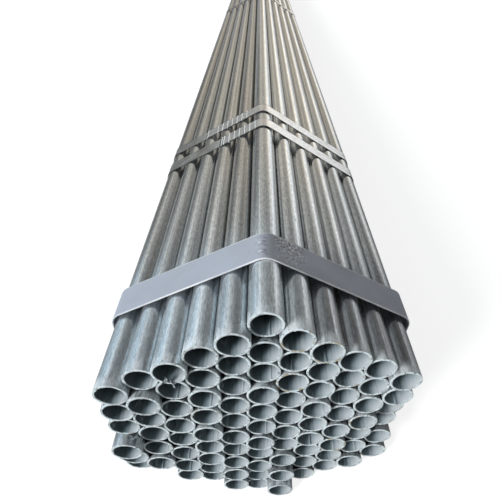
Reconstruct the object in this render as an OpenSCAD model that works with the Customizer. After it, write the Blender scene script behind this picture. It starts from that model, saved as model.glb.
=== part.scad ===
// Hexagonal bundle of galvanised steel tubes, lying on one flat side of the
// hexagon and tied by two wide flat bands and six narrow steel straps.
// X runs across the bundle, Y along the tubes with the front end at -Y, Z up.
// The origin is on the floor under the middle of the bundle. Millimetres.

/* [Tubes] */
// Outside diameter of a tube
tube_od = 33.7; // [21.3:0.1:48.3]
// Wall thickness of a tube
tube_wall = 2.6; // [1.5:0.1:4]
// Length of a tube
tube_length = 6000; // [5000:10:12000]
// Tubes along each side of the hexagon
tubes_per_side = 6; // [5:1:7]
// Clear gap between neighbouring tubes
tube_gap = 0.3; // [0.2:0.05:0.6]
// Bevel that deburring leaves on the edges of a sawn end
end_bevel = 0.4; // [0.2:0.1:0.7]

/* [Tube ends] */
// How far the line of ends steps back across the bundle's width
end_slant = 21; // [0:1:40]
// Direction in which the ends step back, anticlockwise from +X
slant_heading = -30; // [-180:5:180]
// Largest random step of one tube out of that line
end_jitter = 3; // [0:0.5:12]
// Seed of the random steps
jitter_seed = 250; // [1:1:999]

/* [Wide bands] */
// Width of a band
band_width = 42; // [25:1:60]
// Thickness of a band
band_thickness = 1.6; // [1:0.1:3]
// Distance from the tubes' ends to the middle of a band
band_inset = 95; // [60:1:250]
// Gap between a band and the tubes that it bears on
band_gap = 0.3; // [0.1:0.05:0.6]
// How far the stiff band stands off the right-hand corner tube
stand_off_right = 5; // [0:0.5:10]
// How far the band stands off the upper left corner tube
stand_off_top_left = 3; // [0:0.5:10]
// How far the band stands off the left-hand corner tube
stand_off_left = 5; // [0:0.5:10]

/* [Narrow straps] */
// Width of a strap
strap_width = 32; // [16:1:40]
// Thickness of a strap
strap_thickness = 0.9; // [0.5:0.1:1.3]
// Gap between a strap and the tubes
strap_gap = 0.2; // [0.1:0.05:0.6]
// Distance from the tubes' ends to the middle of the first strap of a pair
pair_inset = 415; // [320:5:900]
// Distance between the middles of the two straps of a pair
pair_spacing = 64; // [45:1:200]
// Distance from the tubes' ends to the middle of a single strap
single_inset = 1955; // [1200:5:2400]
// Length of the lap where a strap's outer end is locked down
strap_lap = 105; // [60:1:130]
// Length of that lap on the outer strap of each pair
outer_strap_lap = 70; // [60:1:130]
// Width of a crimp pressed across the lap
crimp_width = 4; // [3:0.5:6]
// Height of a crimp above the lap
crimp_height = 0.7; // [0.4:0.1:1]
// Distance from one crimp to the next
crimp_spacing = 20; // [10:1:24]

/* [Hidden] */
$fn = 96;
zinc_grey = [0.62, 0.65, 0.67];
band_grey = [0.62, 0.63, 0.68];
strap_grey = [0.70, 0.70, 0.69];

sides = 6;
corner_angle = 360 / sides;
// How much further out a bend lies than the straights beside it, so that they meet in an edge
bend_fullness = 0.03;

pitch = tube_od + tube_gap;
row_rise = pitch * sin(corner_angle);
rows = 2 * tubes_per_side - 1;
corner_reach = (tubes_per_side - 1) * pitch;
tube_count = 3 * tubes_per_side * (tubes_per_side - 1) + 1;
bundle_width = 2 * corner_reach + tube_od;
axis_height = bend_fullness + band_thickness + band_gap + tube_od / 2
    + (tubes_per_side - 1) * row_rise;

// Tubes that slid out of line: row from the bottom, place from the left, step towards the front
slid_tubes = [
    [11, 3, 4], [11, 6, -6], [10, 2, 6], [8, 1, 10], [7, 4, 5], [6, 1, -8], [6, 11, 5],
    [5, 1, -34], [4, 9, -6], [3, 1, -7], [3, 8, -10], [2, 3, 7], [2, 7, -4], [1, 1, -5], [1, 2, 12]
];

// Steps of the band off the corner tubes, anticlockwise from the right-hand corner
band_stand_offs = [stand_off_right, 0, stand_off_top_left, stand_off_left, 0, 0];
no_stand_offs = [for (i = [1 : sides]) 0];

function row_name(row) = str("tubes_row_", row < 10 ? "0" : "", row);
function tubes_in_row(row) = rows - abs(row - tubes_per_side);
function first_in_row(row) = row == 1 ? 0 : first_in_row(row - 1) + tubes_in_row(row - 1);
function tube_x(row, place) = (place - (tubes_in_row(row) + 1) / 2) * pitch;
function tube_height(row) = (row - tubes_per_side) * row_rise;

jitters = rands(-end_jitter, end_jitter, tube_count, jitter_seed);
function slide(row, place) =
    let (found = [for (s = slid_tubes) if (s[0] == row && s[1] == place) s[2]])
    len(found) > 0 ? found[0] : jitters[first_in_row(row) + place - 1];
function slant(row, place) =
    -end_slant / bundle_width
    * (tube_x(row, place) * cos(slant_heading) + tube_height(row) * sin(slant_heading));
function end_step(row, place) = slide(row, place) + slant(row, place);

// The mean line of the front ends, so that the middle of the whole length is at the origin
all_steps = [for (row = [1 : rows]) for (place = [1 : tubes_in_row(row)]) end_step(row, place)];
front_end = (max(all_steps) + min(all_steps)) / 2 - tube_length / 2;

// One sawn tube from the origin along +Y, with the edges of both ends bevelled
module tube() {
    bore = tube_od / 2 - tube_wall;
    rotate([-90, 0, 0]) difference() {
        union() {
            cylinder(h = end_bevel, r1 = tube_od / 2 - end_bevel, r2 = tube_od / 2);
            translate([0, 0, end_bevel]) cylinder(h = tube_length - 2 * end_bevel, d = tube_od);
            translate([0, 0, tube_length - end_bevel])
                cylinder(h = end_bevel, r1 = tube_od / 2, r2 = tube_od / 2 - end_bevel);
        }
        translate([0, 0, -end_bevel]) cylinder(h = tube_length + 2 * end_bevel, r = bore);
        cylinder(h = end_bevel, r1 = bore + end_bevel, r2 = bore);
        translate([0, 0, tube_length - end_bevel])
            cylinder(h = end_bevel, r1 = bore, r2 = bore + end_bevel);
    }
}

// One level row of tubes, each slid along its length by its own step
module tube_row(row) {
    color(zinc_grey)
    for (place = [1 : tubes_in_row(row)])
        translate([tube_x(row, place), front_end - end_step(row, place), axis_height + tube_height(row)])
            tube();
}

// Where a hoop bends: the centres of the corner tubes, pushed out by the stand-offs
function bend_centres(stand_offs) = [
    for (i = [0 : sides - 1])
        (corner_reach + stand_offs[i]) * [cos(corner_angle * i), sin(corner_angle * i)]
];
function outward(a, b) = [b[1] - a[1], a[0] - b[0]] / norm(b - a);

// The area inside a line that runs round the bend centres at one distance from them
module loop_area(centres, distance) {
    polygon([
        for (i = [0 : sides - 1])
            let (a = centres[i], b = centres[(i + 1) % sides])
            each [a + distance * outward(a, b), b + distance * outward(a, b)]
    ]);
    for (centre = centres)
        translate(centre) circle(distance + bend_fullness);
}

// A flat strip bent round the bundle and closed, with its middle at one place along the tubes
module hoop(middle, width, thickness, gap, stand_offs) {
    centres = bend_centres(stand_offs);
    inside = tube_od / 2 + gap;
    translate([0, middle + width / 2, axis_height])
    rotate([90, 0, 0])
    linear_extrude(width)
        difference() {
            loop_area(centres, inside + thickness);
            loop_area(centres, inside);
        }
}

module band(middle) {
    color(band_grey) hoop(middle, band_width, band_thickness, band_gap, band_stand_offs);
}

// A strap whose outer end lies back over the top side, from the upper right bend, and is
// locked to the layer below it by crimps across the lap
module strap(middle, lap) {
    lap_top = axis_height + tube_height(rows) + tube_od / 2 + strap_gap + 2 * strap_thickness;
    lap_start = corner_reach / 2;
    // The lap reaches down into the layer below it, so that the strap is one solid
    lap_depth = strap_thickness + strap_thickness / 2;
    color(strap_grey) {
        hoop(middle, strap_width, strap_thickness, strap_gap, no_stand_offs);
        translate([lap_start - lap, middle - strap_width / 2, lap_top - lap_depth])
            cube([lap, strap_width, lap_depth]);
        for (i = [-1 : 1])
            translate([lap_start - lap / 2 + i * crimp_spacing, middle, lap_top])
                crimp();
    }
}

// A round-topped ridge across the strap, as wide as crimp_width where it leaves the lap
module crimp() {
    radius = (pow(crimp_width / 2, 2) + pow(crimp_height, 2)) / (2 * crimp_height);
    rotate([90, 0, 0])
    linear_extrude(strap_width, center = true)
        intersection() {
            translate([0, crimp_height - radius]) circle(radius);
            translate([-crimp_width, -strap_thickness / 2]) square([2 * crimp_width, radius]);
        }
}

function from_front(inset) = front_end + inset;
function from_rear(inset) = front_end + tube_length - inset;

for (row = [1 : rows])
    tube_row(row);
band(from_front(band_inset));  // band_front
band(from_rear(band_inset));  // band_rear
strap(from_front(pair_inset), outer_strap_lap);  // strap_front_outer
strap(from_front(pair_inset + pair_spacing), strap_lap);  // strap_front_inner
strap(from_front(single_inset), strap_lap);  // strap_front_single
strap(from_rear(single_inset), strap_lap);  // strap_rear_single
strap(from_rear(pair_inset + pair_spacing), strap_lap);  // strap_rear_inner
strap(from_rear(pair_inset), outer_strap_lap);  // strap_rear_outer
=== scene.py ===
"""A hexagonal bundle of galvanised steel tubes, tied by two wide bands and six narrow straps.

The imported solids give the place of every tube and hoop. The pieces are made again here with
round rims, weld seams, laps and crimps, get their finishes, and stand for the solids.
"""
import math
import random

import bmesh
import bpy
import numpy as np
from mathutils import Matrix, Vector, noise


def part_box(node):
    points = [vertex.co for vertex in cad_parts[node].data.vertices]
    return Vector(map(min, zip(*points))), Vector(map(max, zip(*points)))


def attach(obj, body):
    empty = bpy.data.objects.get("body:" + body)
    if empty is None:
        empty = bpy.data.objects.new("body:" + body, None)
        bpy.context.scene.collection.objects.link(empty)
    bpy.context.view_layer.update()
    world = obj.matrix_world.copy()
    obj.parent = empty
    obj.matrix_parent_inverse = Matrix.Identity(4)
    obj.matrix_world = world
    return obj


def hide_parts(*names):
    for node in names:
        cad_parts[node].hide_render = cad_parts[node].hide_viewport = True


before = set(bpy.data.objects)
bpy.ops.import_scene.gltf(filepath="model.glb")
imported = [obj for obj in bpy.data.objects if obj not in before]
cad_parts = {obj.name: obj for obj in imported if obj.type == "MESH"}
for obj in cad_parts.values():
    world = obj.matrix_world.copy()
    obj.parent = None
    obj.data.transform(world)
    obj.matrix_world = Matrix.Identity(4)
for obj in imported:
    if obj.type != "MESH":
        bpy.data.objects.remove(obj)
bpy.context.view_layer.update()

bl_info = {
    "name": "Tube bundle",
    "version": (1, 0, 0),
    "blender": (4, 5, 0),
    "location": "View3D > Sidebar > Tube bundle",
    "description": "Builds a strapped hexagonal bundle of galvanised steel tubes",
    "category": "Object",
}

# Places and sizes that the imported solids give
MILLIMETRE = 0.001
ROWS = sorted(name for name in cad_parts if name.startswith("tubes_row_"))
BANDS = sorted(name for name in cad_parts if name.startswith("band_"))
STRAPS = sorted(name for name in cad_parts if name.startswith("strap_"))
MIDDLE_ROW = len(ROWS) // 2
SIDES = 6
CORNER = math.tau / SIDES
HALF_TURN = 180


def box_size(node):
    """Width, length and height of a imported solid."""
    low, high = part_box(node)
    return high - low


TUBE_PITCH = (box_size(ROWS[MIDDLE_ROW]).x - box_size(ROWS[0]).x) / MIDDLE_ROW
TUBE_DIAMETER = box_size(ROWS[0]).x - MIDDLE_ROW * TUBE_PITCH
TUBE_RADIUS = TUBE_DIAMETER / 2
AXIS_HEIGHT = sum(corner.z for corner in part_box(ROWS[MIDDLE_ROW])) / 2
CORNER_REACH = MIDDLE_ROW * TUBE_PITCH
# Turn about the tubes from the photographed bundle, corner up, to the one that lies on a flat side
BUNDLE_TURN = math.radians(30)

# Tubes that show something of their own: row from the floor, place from the left
BURRED_TUBE = (11, 3)
PALE_TUBES = [(1, 2)]
SEAM_TURNS = {(11, 6): -105, (11, 5): -60, (10, 3): -110, (7, 4): -75, (9, 5): -80}
STAINED_TUBES = {
    (8, 7): 1.0, (9, 8): 0.7, (8, 4): 0.6, (4, 8): 0.9, (3, 6): 0.8, (7, 9): 0.5, (10, 7): 0.6,
}


def length_value(label, text, default):
    """A size in metres that a user may change."""
    return bpy.props.FloatProperty(
        name=label, description=text, default=default, min=0.0, precision=5, unit="LENGTH"
    )


def colour_value(label, text, default):
    """A colour that a user may change."""
    return bpy.props.FloatVectorProperty(
        name=label, description=text, default=default, min=0.0, max=1.0, size=3, subtype="COLOR"
    )


def strength_value(label, text, default):
    """A plain number that a user may change."""
    return bpy.props.FloatProperty(name=label, description=text, default=default, min=0.0)


class TubeLook(bpy.types.PropertyGroup):
    """Sizes and colours of the tubes."""

    wall: length_value("Wall", "Wall thickness of a tube", 2.6 * MILLIMETRE)
    rim_round: length_value("Rim rounding", "Rounding of the edges of a sawn end", 0.4 * MILLIMETRE)
    rim_wear: length_value("Rim wear", "How uneven the sawn rims are", 0.8 * MILLIMETRE)
    seam_width: length_value("Seam width", "Width of the weld bead inside a tube", 2.8 * MILLIMETRE)
    seam_height: length_value("Seam height", "Height of the weld bead", 0.9 * MILLIMETRE)
    seam_flat: length_value("Seam flat", "Depth of the planed weld outside", 0.09 * MILLIMETRE)
    burr_length: length_value("Burr length", "Length of a strip of the burr", 9 * MILLIMETRE)
    burr_width: length_value("Burr width", "Width of a strip of the burr", 2.4 * MILLIMETRE)
    seed: bpy.props.IntProperty(name="Seed", description="Seed of the turns and tones", default=11)
    zinc: colour_value("Zinc", "Colour of the zinc coat", (0.67, 0.725, 0.755))
    dull_zinc: colour_value("Dull zinc", "Colour of the older zinc in streaks", (0.46, 0.485, 0.50))
    warm_zinc: colour_value("Warm zinc", "Colour of the oil film away from the ends", (0.66, 0.645, 0.61))
    white_zinc: colour_value("White zinc", "Colour of chalky zinc near the ends", (0.84, 0.885, 0.905))
    rim: colour_value("Rim", "Colour of the sawn rims", (0.87, 0.97, 0.985))
    stain: colour_value("Stain", "Colour of the rust stains", (0.46, 0.38, 0.22))
    # The bore colour is painted light on the inside's pale side; the dark bore colour is painted shade
    # there and real dark steel elsewhere
    bore: colour_value("Bore", "Colour of the inside's paler side", (0.66, 0.85, 0.92))
    dark_bore: colour_value("Dark bore", "Colour of the inside's darker side", (0.10, 0.12, 0.13))
    # Brown film and painted shade on the right-hand tubes' ends
    brown: colour_value("Brown film", "Colour of the right-hand tubes' ends", (0.28, 0.275, 0.275))
    # Pit colour: real pits and nicks, and painted shade in the grooves and deep inside the tubes
    pit: colour_value("Pit", "Colour of pits and dirt", (0.05, 0.05, 0.055))


class HoopLook(bpy.types.PropertyGroup):
    """Sizes and colours of the wide bands and the narrow straps."""

    band_thickness: length_value("Band thickness", "Thickness of a wide band", 1.6 * MILLIMETRE)
    band_gap: length_value("Band gap", "Gap between a band and the tubes", 0.3 * MILLIMETRE)
    band_edge: length_value("Band edge", "Rounding of a band's edges", 0.5 * MILLIMETRE)
    stand_off_right: length_value("Right stand-off", "Step of a band off the right corner", 5 * MILLIMETRE)
    stand_off_top: length_value("Top stand-off", "Step of a band off the top left corner", 3 * MILLIMETRE)
    stand_off_left: length_value("Left stand-off", "Step of a band off the left corner", 5 * MILLIMETRE)
    strap_thickness: length_value("Strap thickness", "Thickness of a narrow strap", 0.9 * MILLIMETRE)
    strap_gap: length_value("Strap gap", "Gap between a strap and the tubes", 0.2 * MILLIMETRE)
    strap_edge: length_value("Strap edge", "Rounding of a strap's edges", 0.25 * MILLIMETRE)
    lap: length_value("Lap", "Length of a strap's lap", 105 * MILLIMETRE)
    outer_lap: length_value("Outer lap", "Length of the lap on the outer strap of a pair", 70 * MILLIMETRE)
    crimp_width: length_value("Crimp width", "Width of a crimp across the lap", 4 * MILLIMETRE)
    crimp_height: length_value("Crimp height", "Height of a crimp", 0.7 * MILLIMETRE)
    crimp_spacing: length_value("Crimp spacing", "Distance between crimps", 20 * MILLIMETRE)
    band: colour_value("Band", "Colour of the wide bands", (0.47, 0.50, 0.57))
    # Dark band: clouds on the bands, and painted shade beside the wrinkles
    dark_band: colour_value("Dark band", "Colour of the clouds on the wide bands", (0.34, 0.345, 0.39))
    # Bare edge: worn steel, and painted highlight on band edges, wrinkles and crimps
    bare_edge: colour_value("Bare edge", "Colour of worn edges and crests", (0.94, 0.94, 0.94))
    # Cut edge: dark cut steel and dark flecks, and painted shadow along strap edges and on crimp flanks
    cut_edge: colour_value("Cut edge", "Colour of the cut edges of the straps", (0.07, 0.068, 0.064))
    strap: colour_value("Strap", "Colour of the narrow straps", (0.92, 0.92, 0.91))
    dull_strap: colour_value("Dull strap", "Colour of the dull patches on straps", (0.42, 0.41, 0.385))


class StageLook(bpy.types.PropertyGroup):
    """Floor, light and camera."""

    floor: colour_value("Floor", "Colour of the floor", (0.24, 0.24, 0.24))
    floor_glow: strength_value("Floor glow", "How pale the floor and backdrop look", 0.85)
    mirrored_glow: strength_value("Mirrored glow", "How pale they look in the metal", 0.85)
    key: strength_value("Key light", "Strength of the soft key light", 3.4)
    sky: strength_value("Sky", "Strength of the surroundings", 1.0)
    focal: strength_value("Focal length", "Focal length over the picture's width", 0.8058)


def look():
    """The settings of the bundle."""
    scene = bpy.context.scene
    return scene.bundle_tubes, scene.bundle_hoops, scene.bundle_stage


def solid(colour):
    """A colour with full opacity."""
    return (*colour, 1.0)


def limited(value):
    """A number kept between 0 and 1."""
    return min(1.0, max(0.0, value))


# Node trees, with the numbers of the sockets that share their names with others
MIX_UNDER, MIX_OVER, MIX_RESULT = 6, 7, 2
COMPARE_FIRST, COMPARE_SECOND = 2, 3
RAMP_MIDDLE = 0.5


class Nodes:
    """A node tree and short ways to fill it."""

    def __init__(self, tree):
        self.tree = tree

    def put(self, socket, value):
        """Sets or links one input."""
        if isinstance(value, bpy.types.NodeSocket):
            self.tree.links.new(value, socket)
        else:
            socket.default_value = value

    def add(self, kind, inputs=None, **settings):
        """Adds a node, sets it, and sets or links its inputs."""
        node = self.tree.nodes.new(kind)
        for name, value in settings.items():
            setattr(node, name, value)
        for key, value in (inputs or {}).items():
            self.put(node.inputs[key], value)
        return node

    def first(self, kind, inputs=None, **settings):
        """Adds a node and gives its first output."""
        return self.add(kind, inputs, **settings).outputs[0]

    def math(self, operation, *values):
        """Joins numbers."""
        return self.first("ShaderNodeMath", dict(enumerate(values)), operation=operation)

    def times(self, product, *values):
        """Multiplies numbers."""
        for value in values:
            product = self.math("MULTIPLY", product, value)
        return product

    def share(self, value, low, high, start=0.0, end=1.0, kind="SMOOTHSTEP"):
        """Maps a value from low and high to start and end."""
        return self.first("ShaderNodeMapRange", {
            "Value": value, "From Min": low, "From Max": high, "To Min": start, "To Max": end,
        }, interpolation_type=kind)

    def axes(self, vector):
        """The three coordinates of a vector."""
        return self.add("ShaderNodeSeparateXYZ", {0: vector}).outputs

    def blend(self, amount, under, over, kind="MIX"):
        """Mixes two colours."""
        node = self.add("ShaderNodeMix", {0: amount, MIX_UNDER: under, MIX_OVER: over},
                        data_type="RGBA", blend_type=kind)
        return node.outputs[MIX_RESULT]

    def ramp(self, share, stops):
        """Colours by a number from 0 to 1."""
        node = self.add("ShaderNodeValToRGB", {0: share})
        points = node.color_ramp.elements
        while len(points) < len(stops):
            points.new(RAMP_MIDDLE)
        for point, (place, colour) in zip(points, stops):
            point.position = place
            point.color = solid(colour)
        return node.outputs[0]

    def stored(self, name, kind="FLOAT"):
        """A number that the geometry carries."""
        return self.first("GeometryNodeInputNamedAttribute", {"Name": name}, data_type=kind)


class Finish(Nodes):
    """A procedural material that a table describes.

    Noises have a scale across and along the tubes, a detail and a distortion. A factor is a source, as
    it is or in a range with low, high, start and end. A way is a product of factors, and the largest of
    several ways counts. Layers lie over the first colour. The relief has a strength and a distance.
    """

    def __init__(self, name, table, colours):
        self.material = bpy.data.materials.new(name)
        self.material.use_nodes = True
        super().__init__(self.material.node_tree)
        self.table = table
        self.colours = colours
        self.place = self.add("ShaderNodeTexCoord").outputs["Object"]
        self.sources = {}

    def stretched(self, across, along):
        """The object's place with a scale across and along the tubes."""
        return self.first("ShaderNodeMapping", {"Vector": self.place, "Scale": (across, along, across)})

    def noise(self, across, along, detail, distortion=0.0):
        """Noise over the object's place."""
        return self.add("ShaderNodeTexNoise", {
            "Vector": self.stretched(across, along), "Scale": 1.0,
            "Detail": detail, "Distortion": distortion,
        }).outputs["Fac"]

    def source(self, name):
        """A noise, what the table makes of other sources, or a number that the mesh carries."""
        if name not in self.sources:
            if name in self.table["noises"]:
                found = self.noise(*self.table["noises"][name])
            elif name in self.table.get("made", {}):
                found = self.amount(self.table["made"][name])
            else:
                found = self.add("ShaderNodeAttribute", attribute_name=name).outputs["Fac"]
            self.sources[name] = found
        return self.sources[name]

    def factor(self, entry):
        """A source as it is or in a range."""
        if isinstance(entry, str):
            return self.source(entry)
        name, *limits = entry
        return self.share(self.source(name), *limits)

    def amount(self, ways):
        """The largest of some products of factors."""
        largest, *others = [self.times(*map(self.factor, way)) for way in ways]
        for other in others:
            largest = self.math("MAXIMUM", largest, other)
        return largest

    def painted(self):
        """The first colour with all of the layers over it."""
        colour = solid(getattr(self.colours, self.table["first"]))
        for name, *ways in self.table["layers"]:
            amount = self.amount(ways)
            if name == TINT:
                grey = self.first("ShaderNodeCombineColor", {0: amount, 1: amount, 2: amount})
                colour = self.blend(1.0, colour, grey, "MULTIPLY")
            else:
                colour = self.blend(amount, colour, solid(getattr(self.colours, name)))
        return colour

    def done(self):
        """The material with its colour, roughness, metal and small relief."""
        rough, *more = map(self.factor, self.table["rough"])
        for part in more:
            rough = self.math("ADD", rough, part)
        metal = self.table["metal"]
        height, strength, distance = self.table["relief"]
        bump = {"Height": self.source(height), "Strength": strength, "Distance": distance}
        values = {
            "Base Color": self.painted(),
            "Roughness": rough,
            "Metallic": self.amount(metal) if isinstance(metal, list) else metal,
            "Normal": self.first("ShaderNodeBump", bump),
        }
        for name, value in values.items():
            self.put(self.tree.nodes["Principled BSDF"].inputs[name], value)
        return self.material


# A layer with this name makes what lies under it lighter or darker
TINT = "tint"

# Galvanised outside: fine lengthwise streaks, faint mottle, few pits and chalky zinc at the ends, with
# painted shade in the grooves between tubes, behind the ends of the tubes above, on the lower side of the
# bundle and on the right-hand tubes' ends, there with a brown film
ZINC_SKIN = {
    "noises": {
        "streaks": (230, 1.1, 2), "fine streaks": (900, 5, 2), "mottle": (85, 13, 4),
        "grain": (820, 150, 3), "scribble": (120, 60, 3, 1.4), "speck areas": (23, 9, 2),
        "pits": (420, 300, 2),
    },
    "made": {
        "near end": [[("depth", 0.07, 0.20, 1.0, 0.0)]],
        "at tip": [[("depth", 0.002, 0.018, 1.0, 0.0)]],
        "chalk": [["at tip", ("mottle", 0.36, 0.62, 0.2, 0.9)]],
        # deeper painted shade in the grooves towards the middle of the tubes
        "far groove shade": [[("from middle", 1.2, 2.85, 0.22, 0.0)]],
        "groove start": [[("from middle", 2.892, 2.918, 0.22, 0.50)]],
        "cover at end": [["cover", ("along", -1.0, 1.0, 1.0, -1.0)]],
    },
    "first": "zinc",
    "layers": [
        ("warm_zinc", [("mottle", 0.35, 0.75, 0.6, 1.0), "oil", ("near end", 0.0, 1.0, 1.0, 0.1)]),
        ("dull_zinc", [("streaks", 0.43, 0.64, 0.0, 0.50)]),
        ("white_zinc", [("fine streaks", 0.52, 0.68, 0.0, 0.50)]),
        ("white_zinc", [("from line", 0.0, 0.018, 0.6, 0.0), ("mottle", 0.52, 0.62), "near end"]),
        ("pit", [("specks", 0.05, 0.11, 1.0, 0.0), ("speck areas", 0.62, 0.68)]),
        ("pit", [("pits", 0.58, 0.66, 0.0, 0.75), "at tip"]),
        # brown film and painted shade on the right-hand tubes' ends
        ("brown", ["near end", "brown", ("streaks", 0.35, 0.65, 0.50, 0.95)]),
        ("white_zinc", ["chalk"]),
        # painted shade in the grooves between tubes and on the skin behind the ends of the tubes above
        (
            "pit",
            ["open groove", ("from middle", 1.2, 2.85, 0.95, 0.72), ("behind", -0.002, 0.014, 0.10, 1.0)],
            [("under", 1.5, 1.9), ("behind", -0.002, 0.014, 0.10, 0.97)],
        ),
        # tone with painted shade on the lower side, and fine grain
        (TINT, ["tone", ("grain", 0.34, 0.66, 0.84, 1.15)]),
    ],
    "rough": [
        ("mottle", 0.3, 0.7, 0.13, 0.21), ("near end", 0.0, 1.0, 0.0, 0.07), ("chalk", 0.0, 1.0, 0.0, 0.16),
    ],
    "metal": [[("near end", 0.0, 1.0, 0.90, 0.78), ("chalk", 0.0, 0.9, 1.0, 0.30)]],
    "relief": ("streaked grain", 0.10, 0.0005),
}
SCRIBBLE_MIDDLE = 0.5
SPECKS = (85, 60)
GROOVE_END = 0.92
GRAIN_RELIEF = 0.4

# Sawn and zinc-dipped rim with dark nicks, and rust stains on some tubes
SAWN_RIM = {
    "noises": {"cloud": (160, 160, 3), "grain": (700, 700, 2), "nicks": (330, 330, 2)},
    "first": "rim",
    "layers": [
        ("dull_zinc", [("cloud", 0.42, 0.66, 0.0, 0.7)]),
        ("pit", [("nicks", 0.60, 0.70, 0.0, 0.85)]),
        ("dark_bore", [("wall", 0.04, 0.22, 0.65, 0.0), ("cloud", 0.35, 0.6, 0.4, 1.0)]),
        ("stain", ["stain", ("cloud", 0.48, 0.62)]),
    ],
    "rough": [("grain", 0.3, 0.7, 0.36, 0.55)],
    "metal": 0.10,
    "relief": ("grain", 0.3, 0.0004),
}

# Torn burr: dark grey metal with bright flecks
TORN_STEEL = {
    "noises": {"flecks": (420, 420, 3)},
    "first": "dark_bore",
    "layers": [("white_zinc", [("flecks", 0.42, 0.60)])],
    "rough": [("flecks", 0.3, 0.7, 0.30, 0.50)],
    "metal": 0.70,
    "relief": ("flecks", 0.4, 0.0005),
}

# Inside of a tube: dull zinc, streaked lengthwise, with a line beside the weld, painted shade that darkens
# it inwards and on one side, and painted light on the other side near the mouth
BORE_SKIN = {
    "noises": {"streaks": (420, 7, 3), "mottle": (140, 60, 3)},
    "first": "dark_bore",
    "layers": [
        # painted light on one side of the inside, over painted shade on the other
        ("bore", [("side", -0.45, 0.90)]),
        ("dark_bore", [("streaks", 0.47, 0.63, 0.0, 0.40)]),
        ("white_zinc", [("mottle", 0.54, 0.72, 0.0, 0.35)]),
        ("pit", [("seam", 0.25, 0.75, 0.0, 0.45)]),
        # painted light near the mouth on the pale side
        ("white_zinc", [("side", 0.15, 0.85), ("depth", 0.002, 0.018, 0.95, 0.0)]),
        # painted shade deeper inside the tube
        ("pit", [("depth", 0.001, 0.026, 0.0, 0.93)]),
    ],
    "rough": [("mottle", 0.3, 0.7, 0.36, 0.50)],
    "metal": 0.30,
    "relief": ("streaks", 0.15, 0.0005),
}

# Smooth satin grey of the wide bands, speckled beside the corner, paler along the edges as worn bare and
# painted highlight, with painted highlight on the wrinkles' crests and painted shade beside them
BAND_COAT = {
    "noises": {
        "cloud": (28, 40, 3), "grain": (900, 900, 2), "scratches": (60, 900, 2), "flecks": (420, 420, 1),
    },
    "first": "band",
    "layers": [
        ("dark_band", [("cloud", 0.3, 0.7, 0.0, 0.22)]),
        ("bare_edge", [("scratches", 0.70, 0.78, 0.0, 0.5), ("cloud", 0.5, 0.62)]),
        ("cut_edge", ["rub", ("flecks", 0.44, 0.36, 0.0, 0.9)]),
        ("bare_edge", ["rub", ("flecks", 0.54, 0.60)]),
        # painted shade beside the wrinkles
        ("dark_band", [("crease", 0.03, 0.15), ("crease", 0.2, 0.4, 0.8, 0.0)]),
        # worn bare and painted highlight along the edges, and painted highlight on the wrinkles' crests
        (
            "bare_edge",
            [("edge", 0.2, 0.6), ("cloud", 0.35, 0.6, 0.45, 1.0)],
            [("crease", 0.4, 0.9, 0.0, 0.7)],
        ),
    ],
    "rough": [("cloud", 0.3, 0.7, 0.40, 0.50)],
    "metal": 0.10,
    "relief": ("grain", 0.06, 0.0004),
}

# Bright speckled zinc of the narrow straps, dark on cut edges with painted shadow beside them, with painted
# highlight on the crimps' crests and painted shade on their flanks
STRAP_ZINC = {
    "noises": {"cloud": (55, 90, 3), "grain": (520, 520, 2), "spangles": (380, 380, 2)},
    "made": {"cut edge": [[("edge", 0.30, 0.7)]], "bent or cut": [["crimp"], ["cut edge"]]},
    "first": "strap",
    "layers": [
        ("dull_strap", [("cloud", 0.46, 0.70, 0.0, 0.35)]),
        ("bare_edge", [("grain", 0.6, 0.75, 0.0, 0.4)]),
        ("dull_strap", ["dull", ("cloud", 0.3, 0.6, 0.5, 0.9)]),
        (TINT, [("spangles", 0.36, 0.64, 0.84, 1.18)]),
        # dark cut edges and painted shadow along them
        ("cut_edge", ["cut edge"]),
        # painted shade on the crimps' flanks, then painted highlight on their crests
        ("cut_edge", [("crimp", 0.0, 0.15), ("crimp", 0.3, 0.5, 0.6, 0.0)]),
        ("bare_edge", [("crimp", 0.4, 0.8, 0.0, 0.9)]),
    ],
    "rough": [("grain", 0.3, 0.7, 0.28, 0.38), ("cut edge", 0.0, 1.0, 0.0, 0.40)],
    "metal": [[("bent or cut", 0.3, 0.7, 0.92, 0.20)]],
    "relief": ("grain", 0.12, 0.0005),
}


def zinc_skin(tubes):
    """The finish of the tubes' outside, with the sources that only it has."""
    finish = Finish("zinc_skin", ZINC_SKIN, tubes)
    own, source = finish.sources, finish.source
    own["along"] = finish.axes(finish.place)["Y"]
    own["from middle"] = finish.math("ABSOLUTE", own["along"])
    own["from line"] = finish.math("ABSOLUTE", finish.math("SUBTRACT", source("scribble"), SCRIBBLE_MIDDLE))
    cells = finish.add("ShaderNodeTexVoronoi", {"Vector": finish.stretched(*SPECKS), "Scale": 1.0})
    own["specks"] = cells.outputs["Distance"]
    own["under"] = finish.math("ADD", source("groove"), source("far groove shade"))
    own["behind"] = finish.math("ADD", source("depth"), source("cover at end"))
    own["open groove"] = finish.share(own["under"], source("groove start"), GROOVE_END)
    relief = finish.math("MULTIPLY_ADD", source("grain"), GRAIN_RELIEF, source("fine streaks"))
    own["streaked grain"] = relief
    return finish.done()


# Mesh helpers
def piece_object(name, mesh, slot, *nodes):
    """Puts a finished mesh into the scene as a piece of the bundle."""
    piece = bpy.data.objects.new(name, mesh)
    bpy.context.scene.collection.objects.link(piece)
    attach(piece, "root")
    if nodes:
        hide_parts(*nodes)


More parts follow.
